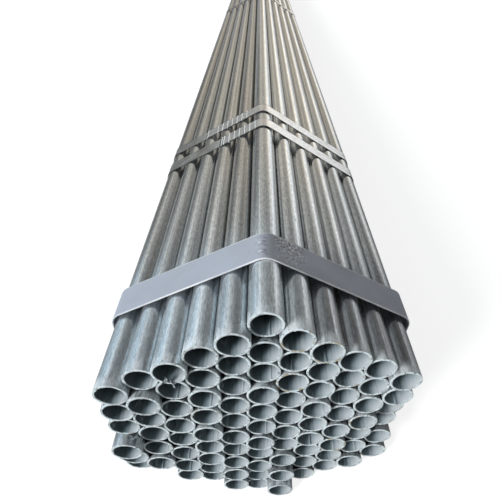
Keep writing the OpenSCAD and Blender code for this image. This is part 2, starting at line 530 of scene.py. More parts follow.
def baked_mesh(host, tree, values):
    """The plain mesh that a node tree makes of a host mesh."""
    holder = bpy.data.objects.new(host.name, host)
    bpy.context.scene.collection.objects.link(holder)
    modifier = holder.modifiers.new("Nodes", "NODES")
    modifier.node_group = tree
    for item in tree.interface.items_tree:
        if item.item_type == "SOCKET" and item.in_out == "INPUT" and item.name in values:
            modifier[item.identifier] = values[item.name]
    depsgraph = bpy.context.evaluated_depsgraph_get()
    mesh = bpy.data.meshes.new_from_object(holder.evaluated_get(depsgraph))
    bpy.data.objects.remove(holder)
    if not mesh.polygons:
        raise RuntimeError("no faces came from " + tree.name)
    return mesh


def new_tree(name, inputs):
    """A geometry tree with named inputs, its input sockets and its output node."""
    tree = bpy.data.node_groups.new(name, "GeometryNodeTree")
    for label, kind in {"Geometry": "Geometry", **inputs}.items():
        tree.interface.new_socket(label, in_out="INPUT", socket_type="NodeSocket" + kind)
    tree.interface.new_socket("Geometry", in_out="OUTPUT", socket_type="NodeSocketGeometry")
    return Nodes(tree), tree.nodes.new("NodeGroupInput").outputs, tree.nodes.new("NodeGroupOutput")


def number_attribute(mesh, name, values, domain="POINT", kind="FLOAT"):
    """Stores one number for each vertex or face."""
    layer = mesh.attributes.new(name, kind, domain)
    layer.data.foreach_set("value", values)


def vertex_places(mesh):
    """The places of a mesh's vertices, one in each row."""
    places = np.zeros(len(mesh.vertices) * 3, np.float32)
    mesh.vertices.foreach_get("co", places)
    return places.reshape(-1, 3)


def face_outwards(mesh):
    """Turns a mesh's faces outwards and shades them smooth."""
    form = bmesh.new()
    form.from_mesh(mesh)
    bmesh.ops.recalc_face_normals(form, faces=form.faces)
    form.to_mesh(mesh)
    form.free()
    mesh.shade_smooth()


# One tube
ZONE_SKIN, ZONE_RIM, ZONE_BORE = range(3)
ROUND_STEPS = 3
TUBE_FACETS = 56
SEAM_STEPS = 5
SEAM_SPREAD = 1.6
SEAM_POWER = 1.5
SEAM_LINE = 1.6
END_RINGS = [0.0015, 0.004, 0.012, 0.035, 0.11, 0.40]
WORN_LENGTH = 0.004


def tube_angles(seam_half):
    """Angles round a tube, closer together at the seam, which is at angle zero."""
    near = [SEAM_SPREAD * seam_half * step / SEAM_STEPS for step in range(-SEAM_STEPS, SEAM_STEPS + 1)]
    first, last = near[-1], math.tau + near[0]
    far = [first + (last - first) * step / TUBE_FACETS for step in range(1, TUBE_FACETS)]
    return near + far


def tube_profile(length, wall, rounding):
    """Closed line through a tube's wall: share of the wall, place along the tube, zone of the next face."""
    bend = [math.pi / 2 * step / ROUND_STEPS for step in range(ROUND_STEPS + 1)]
    edge = rounding / wall
    rings = [ring for ring in END_RINGS if ring > rounding]
    skin = [rounding] + rings + [length / 2] + [length - ring for ring in reversed(rings)]
    outer, end = 1 - edge, length - rounding
    half = [(1.0, y, ZONE_SKIN) for y in skin]
    half += [(outer + edge * math.cos(a), end + rounding * math.sin(a), ZONE_RIM) for a in bend]
    half += [(0.5, length, ZONE_RIM)]
    half += [(edge - edge * math.sin(a), end + rounding * math.cos(a), ZONE_RIM) for a in bend[:-1]]
    back = [(1 - share, length - y, ZONE_RIM if zone == ZONE_RIM else ZONE_BORE) for share, y, zone in half]
    return half + back


def tube_mesh(tubes, length):
    """One tube from the origin along Y, its weld seam at angle zero."""
    bore = TUBE_RADIUS - tubes.wall
    seam_half = tubes.seam_width / 2 / bore
    angles = tube_angles(seam_half)
    profile = tube_profile(length, tubes.wall, tubes.rim_round)
    points, faces, zones = [], [], []
    numbers = {"worn": [], "seam": [], "depth": [], "wall": []}
    for angle in angles:
        turn = (angle + math.pi) % math.tau - math.pi
        rise = max(0.0, 1 - (turn / seam_half) ** 2)
        inside = bore - tubes.seam_height * rise ** SEAM_POWER
        outside = TUBE_RADIUS - tubes.seam_flat * rise
        for share, y, _ in profile:
            distance = inside + (outside - inside) * share
            depth = min(y, length - y)
            points.append((distance * math.cos(angle), y, distance * math.sin(angle)))
            numbers["depth"].append(depth)
            numbers["wall"].append(share)
            numbers["worn"].append(max(0.0, 1 - depth / WORN_LENGTH))
            numbers["seam"].append(max(0.0, 1 - abs(turn / seam_half - 1) * SEAM_LINE))
    count = len(profile)
    for column in range(len(angles)):
        here, beside = column * count, (column + 1) % len(angles) * count
        for row in range(count):
            after = (row + 1) % count
            faces.append((here + row, here + after, beside + after, beside + row))
            zones.append(profile[row][2])
    mesh = bpy.data.meshes.new("one_tube")
    mesh.from_pydata(points, [], faces)
    for name, values in numbers.items():
        number_attribute(mesh, name, values)
    number_attribute(mesh, "zone", zones, "FACE", "INT")
    face_outwards(mesh)
    return mesh


# Rows of tubes
WEAR_SCALE = 130.0
WEAR_DETAIL = 3.0
WEAR_MIDDLE = (0.5, 0.5, 0.5)
TONES = (0.88, 1.10)
OIL = (0.45, 1.25)
FAINT_STAINS = (0.0, 0.0, 0.0, 0.0, 0.15)
# Direction across a bore towards its side with painted light
BORE_LIT_SIDE = math.radians(-50)
RIGHT_REACH = 2.0
LOW_REACH = 4.0
# Darkest painted shade on the bundle's lower side
LOW_SIDE_SHADE = 0.52
NEIGHBOUR_RISE = 0.3
NEIGHBOUR_REACH = 1.2
EXPOSED_STEP = 0.1


def row_tree():
    """Node tree that sets a tube on each point of a row, wears its rims and gives its finishes."""
    nodes, inputs, output = new_tree("tube_row", {
        "Tube": "Object", "Rim wear": "Float", "Skin": "Material", "Rim": "Material", "Bore": "Material",
    })
    lean = nodes.first("ShaderNodeCombineXYZ", {"Y": nodes.stored("turn")})
    tube = nodes.add("GeometryNodeObjectInfo", {"Object": inputs["Tube"]})
    stand = nodes.first("GeometryNodeInstanceOnPoints", {
        "Points": inputs["Geometry"], "Instance": tube.outputs["Geometry"],
        "Rotation": nodes.first("FunctionNodeEulerToRotation", {0: lean}),
    })
    whole = nodes.first("GeometryNodeRealizeInstances", {0: stand})

    place = nodes.first("GeometryNodeInputPosition")
    uneven = nodes.add("ShaderNodeTexNoise", {"Vector": place, "Scale": WEAR_SCALE, "Detail": WEAR_DETAIL})
    centred = nodes.first("ShaderNodeVectorMath", {0: uneven.outputs["Color"], 1: WEAR_MIDDLE},
                          operation="SUBTRACT")
    amount = nodes.times(nodes.stored("worn"), inputs["Rim wear"])
    offset = nodes.first("ShaderNodeVectorMath", {0: centred, "Scale": amount}, operation="SCALE")
    stage = nodes.first("GeometryNodeSetPosition", {"Geometry": whole, "Offset": offset})
    zone = nodes.stored("zone", "INT")
    for number, label in enumerate(("Skin", "Rim", "Bore")):
        chosen = nodes.first("FunctionNodeCompare", {COMPARE_FIRST: zone, COMPARE_SECOND: number},
                             data_type="INT", operation="EQUAL")
        stage = nodes.first("GeometryNodeSetMaterial", {
            "Geometry": stage, "Selection": chosen, "Material": inputs[label],
        })
    nodes.put(output.inputs[0], stage)
    return nodes.tree


def row_places(node):
    """Front end of each tube's axis in one row, from left to right, and the tubes' length."""
    points = np.array([vertex.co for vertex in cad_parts[node].data.vertices])
    low, high = points.min(0), points.max(0)
    count = round((high[0] - low[0] - TUBE_DIAMETER) / TUBE_PITCH) + 1
    column = np.round((points[:, 0] - low[0] - TUBE_DIAMETER / 2) / TUBE_PITCH)
    height = (low[2] + high[2]) / 2
    places = []
    for place in range(count):
        ends = points[column == place][:, 1]
        x = low[0] + TUBE_DIAMETER / 2 + place * TUBE_PITCH
        places.append((x, ends.min(), height))
        length = ends.max() - ends.min()
    return places, float(length)


def bore_lit_side(mesh, places):
    """How far each vertex lies towards the side of its own tube with painted light, from -1 to 1; the far
    side has painted shade.
    """
    points = vertex_places(mesh)
    axes = np.array(places)
    place = np.clip(np.round((points[:, 0] - axes[0, 0]) / TUBE_PITCH).astype(int), 0, len(axes) - 1)
    across = points[:, 0] - axes[place, 0]
    upward = points[:, 2] - axes[place, 2]
    return (across * math.cos(BORE_LIT_SIDE) + upward * math.sin(BORE_LIT_SIDE)) / TUBE_RADIUS


def as_photographed(place):
    """How far a place lies to the right of the bundle's axis and above it, as photographed."""
    x, z = place[0], place[2] - AXIS_HEIGHT
    across = x * math.cos(BUNDLE_TURN) - z * math.sin(BUNDLE_TURN)
    return across, x * math.sin(BUNDLE_TURN) + z * math.cos(BUNDLE_TURN)


def right_side_share(place):
    """How far a tube lies towards the right of the photographed corner, from 0 to 1, which sets the brown
    film and painted shade on its end.
    """
    return limited(as_photographed(place)[0] / (RIGHT_REACH * TUBE_PITCH))


def low_side_shade(place):
    """Painted shade on a tube, darker on the side away from the photographed corner."""
    return 1 - (1 - LOW_SIDE_SHADE) * limited(0.5 - as_photographed(place)[1] / (LOW_REACH * TUBE_PITCH))


def groove_depth(mesh):
    """How deep each vertex lies under the bundle's flat sides, in tube radii, which sets the painted shade
    in the grooves.
    """
    places = vertex_places(mesh)
    reach = CORNER_REACH * math.cos(CORNER / 2) + TUBE_RADIUS
    height = np.zeros(len(places))
    for side in range(SIDES):
        angle = CORNER * (side + 0.5)
        out = places[:, 0] * math.cos(angle) + (places[:, 2] - AXIS_HEIGHT) * math.sin(angle)
        height = np.maximum(height, out)
    return (reach - height) / TUBE_RADIUS


def cover_step(place, all_places):
    """How far the tubes above a tube, as photographed, stick out in front of its end, which sets the
    painted shade on its skin behind them.
    """
    up = Vector((math.sin(BUNDLE_TURN), 0.0, math.cos(BUNDLE_TURN)))
    ends = []
    for other in all_places:
        step = Vector(other) - Vector(place)
        above = step.dot(up) > NEIGHBOUR_RISE * TUBE_PITCH
        if above and Vector((step.x, step.z)).length < NEIGHBOUR_REACH * TUBE_PITCH:
            ends.append(-step.y)
    return max(ends, default=-EXPOSED_STEP)


class BUNDLE_OT_tubes(bpy.types.Operator):
    """Makes the rows of tubes with their rims, weld seams and finishes"""

    bl_idname = "bundle.tubes"
    bl_label = "Tubes"

    def execute(self, context):
        tubes, _, _ = look()
        chance = random.Random(tubes.seed)
        oil_chance = random.Random(tubes.seed + 1)
        model = bpy.data.objects.new("one_tube", tube_mesh(tubes, row_places(ROWS[0])[1]))
        tree = row_tree()
        values = {
            "Tube": model, "Rim wear": tubes.rim_wear,
            "Skin": zinc_skin(tubes),
            "Rim": Finish("sawn_rim", SAWN_RIM, tubes).done(),
            "Bore": Finish("bore_skin", BORE_SKIN, tubes).done(),
        }
        all_places = [place for node in ROWS for place in row_places(node)[0]]
        for row, node in enumerate(ROWS, 1):
            places, _ = row_places(node)
            numbers = {"turn": [], "tone": [], "brown": [], "stain": []}
            for number, place in enumerate(places, 1):
                own = (row, number)
                pale = own in PALE_TUBES
                drawn = chance.uniform(-HALF_TURN, HALF_TURN)
                tone = chance.uniform(*TONES)
                faint = chance.choice(FAINT_STAINS)
                numbers["turn"].append(-math.radians(SEAM_TURNS.get(own, drawn)))
                # a random tone, times painted shade on the lower side
                numbers["tone"].append(tone if pale else tone * low_side_shade(place))
                numbers["brown"].append(0.0 if pale else right_side_share(place))
                numbers["stain"].append(STAINED_TUBES.get(own, faint))
            numbers["oil"] = [oil_chance.uniform(*OIL) for _ in places]
            # cover and groove set painted shade on the skin
            numbers["cover"] = [cover_step(place, all_places) for place in places]
            points = bpy.data.meshes.new(node + "_places")
            points.from_pydata(places, [], [])
            for name, entries in numbers.items():
                number_attribute(points, name, entries)
            mesh = baked_mesh(points, tree, values)
            # groove depth sets the painted shade between the tubes
            number_attribute(mesh, "groove", groove_depth(mesh))
            # which side of each bore gets painted light and which gets painted shade
            number_attribute(mesh, "side", bore_lit_side(mesh, places))
            piece_object(node.replace("tubes_row", "tube_row"), mesh, "tube_zinc", node)
        bpy.data.objects.remove(model)
        return {"FINISHED"}


# Torn burr on one tube
BURR_TURN = math.radians(-120)
BURR_SPREAD = math.radians(36)
BURR_STRIPS = 7
BURR_STEPS = 9
BURR_ROOT = (0.1, 0.5)
BURR_SINK = 0.25
BURR_HEADING = (10, 60)
BURR_CURL = (8, 24)
BURR_CURL_SIDES = (-0.6, 1.0, 1.0)
BURR_DRIFT = (-0.5, 0.5)
BURR_LENGTHS = (0.6, 1.2)
BURR_WIDTHS = (0.75, 1.2)
BURR_TAPER = 0.75
BURR_THINNESS = 9
BURR_CORNERS = ((-1, -1), (1, -1), (1, 1), (-1, 1))


def burr_strip(form, chance, tubes, centre):
    """One curled strip of torn metal that hangs from the lower inside edge of a rim."""
    angle = BURR_TURN + chance.uniform(-BURR_SPREAD, BURR_SPREAD)
    outward = Vector((math.cos(angle), 0.0, math.sin(angle)))
    beside = Vector((-outward.z, 0.0, outward.x))
    root = TUBE_RADIUS - tubes.wall + tubes.wall * chance.uniform(*BURR_ROOT)
    place = centre + outward * root + Vector((0.0, tubes.wall * BURR_SINK, 0.0))
    heading = math.radians(chance.uniform(*BURR_HEADING))
    curl = math.radians(chance.uniform(*BURR_CURL)) * chance.choice(BURR_CURL_SIDES)
    drift = chance.uniform(*BURR_DRIFT)
    length = tubes.burr_length * chance.uniform(*BURR_LENGTHS) / BURR_STEPS
    depth = tubes.burr_width / BURR_THINNESS
    rings = []
    for step in range(BURR_STEPS + 1):
        way = Vector((0.0, -math.cos(heading), 0.0)) - outward * math.sin(heading) + beside * drift
        skin = way.cross(beside).normalized()
        share = 1 - BURR_TAPER * (step / BURR_STEPS) ** 2
        reach = beside * tubes.burr_width / 2 * share * chance.uniform(*BURR_WIDTHS)
        corners = [place + side * reach + face * skin * depth for side, face in BURR_CORNERS]
        rings.append([form.verts.new(corner) for corner in corners])
        place = place + way.normalized() * length
        heading += curl
    for here, after in zip(rings, rings[1:]):
        for side in range(len(BURR_CORNERS)):
            other = (side + 1) % len(BURR_CORNERS)
            form.faces.new((here[side], here[other], after[other], after[side]))
    form.faces.new(list(reversed(rings[0])))
    form.faces.new(rings[-1])


class BUNDLE_OT_burr(bpy.types.Operator):
    """Makes the torn burr in the mouth of one tube"""

    bl_idname = "bundle.burr"
    bl_label = "Burr"

    def execute(self, context):
        tubes, _, _ = look()
        chance = random.Random(tubes.seed)
        row, place = BURRED_TUBE
        places, _ = row_places(ROWS[row - 1])
        form = bmesh.new()
        for _ in range(BURR_STRIPS):
            burr_strip(form, chance, tubes, Vector(places[place - 1]))
        bmesh.ops.recalc_face_normals(form, faces=form.faces)
        mesh = bpy.data.meshes.new("burr")
        form.to_mesh(mesh)
        form.free()
        mesh.materials.append(Finish("torn_steel", TORN_STEEL, tubes).done())
        piece_object("tube_burr", mesh, "tube_zinc")
        return {"FINISHED"}


# Bands and straps
STRAIGHT_STEP = 4 * MILLIMETRE
BEND_STEP = math.radians(4)
FACE_STEP = 1.4 * MILLIMETRE
# Width along a band's edges of its worn bare and painted highlight
BAND_MARGIN = 2.0 * MILLIMETRE
# Width along a strap's edges of its dark cut edge and painted shadow
STRAP_MARGIN = 1.9 * MILLIMETRE
SHARP_ANGLE = math.radians(50)


class HoopLine:
    """The line that a hoop follows round the bundle, from the right end of the top side to the left."""

    def __init__(self, stand_offs, radius):
        self.radius = radius
        corners = [
            (CORNER_REACH + step) * Vector((math.cos(CORNER * i), math.sin(CORNER * i)))
            for i, step in enumerate(stand_offs)
        ]
        self.parts = []
        for side in range(1, SIDES + 1):
            here, after, next_one = (corners[(side + step) % SIDES] for step in range(3))
            out, next_out = self.outward(here, after), self.outward(after, next_one)
            self.parts.append(("side", (after - here).length, here + radius * out, after - here, out))
            angle = math.atan2(out.cross(next_out), out.dot(next_out))
            self.parts.append(("bend", radius * angle, after, out, angle))
        self.length = sum(part[1] for part in self.parts)

    @staticmethod
    def outward(here, after):
        """Direction away from the bundle beside a side."""
        return Vector((after.y - here.y, here.x - after.x)).normalized()

    def at(self, distance):
        """Point and outward direction at one distance along the line."""
        distance %= self.length
        for kind, length, start, run, extra in self.parts:
            if distance <= length:
                break
            distance -= length
        if kind == "side":
            return start + run * (distance / length), extra
        turned = Matrix.Rotation(extra * distance / length, 2) @ run
        return start + self.radius * turned, turned

    def stops(self):
        """Distances at which the line needs a point."""
        stops, passed = [], 0.0
        for kind, length, _, _, extra in self.parts:
            steps = math.ceil(length / STRAIGHT_STEP if kind == "side" else extra / BEND_STEP)
            stops += [passed + length * step / steps for step in range(steps)]
            passed += length
        return stops


def line_mesh(name, points, closed):
    """A mesh of edges through the points."""
    mesh = bpy.data.meshes.new(name)
    last = len(points) - 1
    edges = [(i, i + 1) for i in range(last)]
    if closed:
        edges.append((last, 0))
    mesh.from_pydata(points, edges, [])
    return mesh


def section_object(name, width, thickness, edge):
    """Outline of a strip's section with round edges and points close together across its faces."""
    across, upward = width / 2 - edge, thickness / 2 - edge
    points = []
    corners = ((across, upward), (-across, upward), (-across, -upward), (across, -upward))
    for quarter, (x, y) in enumerate(corners):
        for step in range(ROUND_STEPS + 1):
            angle = (quarter + step / ROUND_STEPS) * math.pi / 2
            points.append((x + edge * math.cos(angle), y + edge * math.sin(angle), 0.0))
        if quarter % 2 == 0:
            steps = round(2 * across / FACE_STEP)
            points += [(x - 2 * x * step / steps, points[-1][1], 0.0) for step in range(1, steps)]
    return bpy.data.objects.new(name, line_mesh(name, points, True))


def hoop_tree():
    """Node tree that draws a strip with a given section along a line of edges."""
    nodes, inputs, output = new_tree("hoop_strip", {"Section": "Object", "Finish": "Material"})
    section = nodes.add("GeometryNodeObjectInfo", {"Object": inputs["Section"]})
    strip = nodes.first("GeometryNodeCurveToMesh", {
        "Curve": nodes.first("GeometryNodeMeshToCurve", {0: inputs["Geometry"]}),
        "Profile Curve": nodes.first("GeometryNodeMeshToCurve", {0: section.outputs["Geometry"]}),
        "Fill Caps": True,
    })
    whole = nodes.first("GeometryNodeRealizeInstances", {0: strip})
    finished = nodes.first("GeometryNodeSetMaterial", {"Geometry": whole, "Material": inputs["Finish"]})
    nodes.put(output.inputs[0], finished)
    return nodes.tree


def edge_share(mesh, margin):
    """How close each vertex of a strip lies to its cut edges, from 0 to 1."""
    along = [vertex.co.y for vertex in mesh.vertices]
    low, high = min(along), max(along)
    beside = [1 - min(y - low, high - y) / margin for y in along]
    return [max(share, abs(vertex.normal.y)) for share, vertex in zip(beside, mesh.vertices)]


def strip_mesh(tree, name, points, closed, section, material, margin):
    """The mesh of one strip, with its faces outwards and smooth except at sharp edges."""
    line = line_mesh(name + "_line", points, closed)
    mesh = baked_mesh(line, tree, {"Section": section, "Finish": material})
    bpy.data.objects.remove(section)
    face_outwards(mesh)
    mesh.set_sharp_from_angle(angle=SHARP_ANGLE)
    number_attribute(mesh, "edge", edge_share(mesh, margin))
    return mesh


def hoop_middle(node):
    """Place of a hoop's middle along the tubes, and its width."""
    low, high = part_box(node)
    return (low.y + high.y) / 2, high.y - low.y


# Wrinkles beside the photographed corner: distance from it and place across the band in mm, tilt, height
WRINKLES = [
    (-5.0, 11.8, 0.10, 0.6), (-4.0, 4.6, -0.10, 1.0), (-6.0, -0.3, 0.12, 0.55), (-4.5, -9.5, -0.06, 1.0),
    (-6.0, -13.8, 0.14, 0.65),
]
WRINKLE_LENGTH = 4.0 * MILLIMETRE
WRINKLE_WIDTH = 1.35 * MILLIMETRE
WRINKLE_HEIGHT = 2.0 * MILLIMETRE
WRINKLE_STEP = 0.7 * MILLIMETRE
WRINKLE_REACH = 22 * MILLIMETRE
WAVE_HEIGHT = 0.22 * MILLIMETRE
WAVE_SIZE = 22.0
WAVE_LEVEL = 0.5
WAVE_START = 0.4
RUB_START = -2 * MILLIMETRE
RUB_REACH = 44 * MILLIMETRE
RUB_FADE = 40 * MILLIMETRE
RUB_LEAST = 0.25
RUB_MIDDLE = 0.7
RUB_POWER = 0.5


def corner_distances(place):
    """Distances from the photographed corner along the top side and along the upper right side."""
    corner = CORNER_REACH * Vector((math.cos(CORNER), math.sin(CORNER)))
    away = Vector((place.x, place.z - AXIS_HEIGHT)) - corner
    return -away.x, away.x * math.cos(CORNER) - away.y * math.sin(CORNER)


def crease_share(place, left, middle):
    """How high a place of a band lies on the wrinkles."""
    crease = 0.0
    for start, across, tilt, height in WRINKLES:
        along = left - start * MILLIMETRE
        beside = place.y - middle - across * MILLIMETRE - tilt * along
        crease += height * math.exp(-(along / WRINKLE_LENGTH) ** 2 - (beside / WRINKLE_WIDTH) ** 2)
    return crease


def rub_share(place, right, middle):
    """How far a place of a band is rubbed, beside the photographed corner."""
    if not RUB_START < right < RUB_START + RUB_REACH:
        return 0.0
    rub = math.sin(math.pi * (right - RUB_START) / RUB_REACH) ** RUB_POWER
    return rub * min(1.0, max(RUB_LEAST, RUB_MIDDLE + (place.y - middle) / RUB_FADE))


def wrinkle_band(mesh, middle):
    """Raises wrinkles beside the corner and slow waves, and marks where the coat is rubbed and where the
    wrinkles get painted highlight and shade.
    """
    creased, rubbed, moved = [], [], []
    for vertex in mesh.vertices:
        place = vertex.co
        left, right = corner_distances(place)
        near = -WRINKLE_REACH < left < WRINKLE_REACH and place.z > AXIS_HEIGHT and right < WRINKLE_REACH
        crease = crease_share(place, left, middle) if near else 0.0
        wave = max(0.0, noise.noise(place * WAVE_SIZE) + WAVE_LEVEL)
        above = limited((place.z - AXIS_HEIGHT) / CORNER_REACH + WAVE_START)
        outward = Vector((place.x, 0.0, place.z - AXIS_HEIGHT)).normalized()
        raised = WRINKLE_HEIGHT * crease * (vertex.normal.dot(outward) > 0)
        moved.extend(place + vertex.normal * raised + outward * WAVE_HEIGHT * wave * above)
        creased.append(min(1.0, crease))
        rubbed.append(rub_share(place, right, middle))
    mesh.vertices.foreach_set("co", moved)
    number_attribute(mesh, "crease", creased)
    number_attribute(mesh, "rub", rubbed)
    mesh.update()


class BUNDLE_OT_bands(bpy.types.Operator):
    """Makes the two wide bands near the ends"""

    bl_idname = "bundle.bands"
    bl_label = "Wide bands"

    def execute(self, context):
        _, hoops, _ = look()
        tree = hoop_tree()
        material = Finish("band_coat", BAND_COAT, hoops).done()
        stand_offs = [hoops.stand_off_right, 0, hoops.stand_off_top, hoops.stand_off_left, 0, 0]
        line = HoopLine(stand_offs, TUBE_RADIUS + hoops.band_gap + hoops.band_thickness / 2)
        fine = [step * WRINKLE_STEP for step in range(int(WRINKLE_REACH / WRINKLE_STEP))]
        rest = [stop for stop in line.stops() if WRINKLE_REACH < stop < line.length - WRINKLE_REACH]
        stops = fine + rest + [line.length - stop for stop in reversed(fine[1:])]
        path = [line.at(stop)[0] for stop in stops]
        for node in BANDS:
            middle, width = hoop_middle(node)
            section = section_object(node + "_section", width, hoops.band_thickness, hoops.band_edge)
            points = [(point.x, middle, AXIS_HEIGHT + point.y) for point in path]
            mesh = strip_mesh(tree, node, points, True, section, material, BAND_MARGIN)
            wrinkle_band(mesh, middle)
            piece_object("wide_" + node, mesh, "band_steel", node)
        return {"FINISHED"}


# Crimps and the lower notches between them: place in crimp spacings, share of a crimp's height
LAP_MARKS = [(-1.5, 0.6), (-1.0, 1.0), (-0.5, 0.6), (0.0, 1.0), (0.5, 0.6), (1.0, 1.0), (1.5, 0.6)]
CRIMP_STEP = 0.4 * MILLIMETRE
DULL_REACH = 30 * MILLIMETRE
LAP_START = 4 * MILLIMETRE
LAP_RAMP = 150 * MILLIMETRE
LAP_TAIL = 8 * MILLIMETRE
TAIL_LIFT = 0.35 * MILLIMETRE
LAP_CLEARANCE = 0.06 * MILLIMETRE


def crimp_share(mesh, lap, hoops):
    """How high each vertex of a strap lies on a crimp or on the lap's cut end, from 0 to 1."""
    half = hoops.crimp_width / 2
    middle = CORNER_REACH / 2 - lap / 2
    bright = [middle + step * hoops.crimp_spacing for step, _ in LAP_MARKS] + [CORNER_REACH / 2 - lap]
    shares = []
    for vertex in mesh.vertices:
        away = min(abs(vertex.co.x - place) for place in bright) / half
        shares.append(max(0.0, 1 - away) if vertex.co.z > AXIS_HEIGHT else 0.0)
    return shares


def dull_share(mesh, lap):
    """How far each vertex of a strap lies past the end of the lap, where the zinc is dull."""
    end = CORNER_REACH / 2 - lap
    return [limited((end - vertex.co.x) / DULL_REACH) for vertex in mesh.vertices]


def strap_points(line, hoops, middle, lap):
    """Points of an open strap that runs once round the bundle and over its own start."""
    whole = line.length
    crimps = [(whole + lap / 2 + step * hoops.crimp_spacing, height) for step, height in LAP_MARKS]
    half = hoops.crimp_width / 2
    stops = [stop for stop in line.stops() if stop > LAP_START]
    stops += [whole + step * STRAIGHT_STEP for step in range(int(lap / STRAIGHT_STEP))]
    for crimp, _ in crimps:
        stops = [stop for stop in stops if abs(stop - crimp) > half]
        steps = round(hoops.crimp_width / CRIMP_STEP)
        stops += [crimp - half + step * CRIMP_STEP for step in range(steps + 1)]
    stops += [LAP_START, whole + lap - LAP_TAIL / 2, whole + lap]
    points = []
    for stop in sorted(stops):
        share = limited((stop - (whole - LAP_RAMP)) / (LAP_RAMP - BEND_STEP * line.radius))
        lift = (hoops.strap_thickness + LAP_CLEARANCE) * share * share * (3 - 2 * share)
        for crimp, height in crimps:
            away = abs(stop - crimp) / half
            if away < 1:
                lift += height * hoops.crimp_height * math.cos(away * math.pi / 2) ** 2
        tail = max(0.0, (stop - whole - lap + LAP_TAIL) / LAP_TAIL)
        lift += TAIL_LIFT * tail * tail
        point, out = line.at(stop)
        point = point + out * lift
        points.append((point.x, middle, AXIS_HEIGHT + point.y))
    return points


class BUNDLE_OT_straps(bpy.types.Operator):
    """Makes the narrow straps, each with a crimped lap on the top side"""

    bl_idname = "bundle.straps"
    bl_label = "Narrow straps"

    def execute(self, context):
        _, hoops, _ = look()
        tree = hoop_tree()
        material = Finish("strap_zinc", STRAP_ZINC, hoops).done()
        line = HoopLine([0.0] * SIDES, TUBE_RADIUS + hoops.strap_gap + hoops.strap_thickness / 2)
        for node in STRAPS:
            middle, width = hoop_middle(node)
            lap = hoops.outer_lap if node.endswith("outer") else hoops.lap
            points = strap_points(line, hoops, middle, lap)
            section = section_object(node + "_section", width, hoops.strap_thickness, hoops.strap_edge)
            mesh = strip_mesh(tree, node, points, False, section, material, STRAP_MARGIN)
            number_attribute(mesh, "crimp", crimp_share(mesh, lap, hoops))
            number_attribute(mesh, "dull", dull_share(mesh, lap))
            piece_object("narrow_" + node, mesh, "strap_steel", node)
        return {"FINISHED"}


# Stage
FLOOR_REACH = 60.0
WALL_PLACE = 14.0
WALL_HEIGHT = 3.2
KEY_DIRECTION = (-0.50, -0.60, 0.63)
KEY_SOFTNESS = math.radians(18)
KEY_TINT = (0.97, 0.985, 1.0)
WHITE = (1.0, 1.0, 1.0)
BLUE = (0.76, 0.97, 1.13)
PALE = (0.93, 1.0, 1.05)
PLAIN = (1.0, 1.0, 0.98)
WARM = (1.10, 1.0, 0.85)
# Surroundings by the angle above the right-hand horizon, in degrees: brightness and tint
SKY_STEEP = [
    (0, 0.18, PALE), (15, 0.22, PLAIN), (30, 0.19, PLAIN), (45, 0.17, PALE), (60, 0.22, PALE),
    (75, 0.38, PALE), (90, 0.54, PALE), (98, 0.66, PALE), (104, 1.32, PALE), (108, 1.20, PALE),
    (113, 0.82, BLUE), (122, 0.98, BLUE), (135, 0.88, BLUE), (150, 0.54, BLUE), (180, 0.25, BLUE),
]
SKY_MIDDLE = [
    (0, 0.68, PLAIN), (12, 0.75, PLAIN), (24, 0.36, PLAIN), (45, 0.24, PLAIN), (60, 0.34, PLAIN),
    (75, 0.46, PLAIN), (90, 0.53, PLAIN), (98, 0.59, PLAIN), (105, 0.86, PLAIN), (112, 0.50, PLAIN),
    (120, 0.44, PLAIN), (135, 0.30, PLAIN), (147, 0.13, PLAIN), (180, 0.10, PLAIN),
]
SKY_LOW = [
    (0, 1.38, WARM), (12, 1.40, WARM), (22, 0.75, WARM), (32, 0.50, WARM), (45, 0.46, WARM),
    (60, 0.42, WARM), (75, 0.62, WARM), (90, 0.57, WARM), (105, 0.32, WARM), (120, 0.15, WARM),
    (135, 0.09, WARM), (147, 0.06, WARM), (180, 0.06, WARM),
]
# How far a direction leans along the tubes where each of the three holds
SKY_LEANS = (0.60, 0.80, 0.93)
# Surroundings in front of the bundle: strength of the light, more of it in the metal, lean where they end
FRONT_SKY = 0.2
FRONT_MIRRORED = 1.0
FRONT_LEAN = (-0.3, 0.2)
# How much of the floor's glow the metal mirrors, by the distance to the right of the bundle's axis: a
# painted shadow near the bundle and brighter strips further out that the tubes mirror as painted highlights
MIRRORED_REACH = 4.0
MIRRORED_NEAR = [
    (0.0, 0.12), (0.2, 0.12), (0.44, 0.12), (0.54, 0.55), (0.74, 0.55), (0.9, 0.22), (1.2, 0.25),
    (1.8, 1.0),
]
MIRRORED_FAR = [(0.0, 0.12), (0.2, 0.22), (0.4, 0.3), (0.55, 0.45), (0.8, 0.9), (1.05, 1.15), (1.5, 1.15)]
# Where along the tubes the first gives way to the second
MIRRORED_TURN = (-2.2, -1.5)
# Camera's place from the middle of the tubes' front ends, which lie this far in front of the band's middle
CAMERA_EYE = (-0.0125, -0.2248, 0.4516)
BAND_INSET = 0.095
CAMERA_PITCH = math.radians(38.08)
CAMERA_YAW = math.radians(4.42)
CAMERA_ROLL = math.radians(3.84)
CAMERA_SHIFT = (-0.0566, -0.0274)
CAMERA_CLIP = (0.01, 200.0)
SENSOR = 36.0


def cleared(owner):
    """The emptied node tree of a material or of the world."""
    owner.use_nodes = True
    owner.node_tree.nodes.clear()
    return Nodes(owner.node_tree)


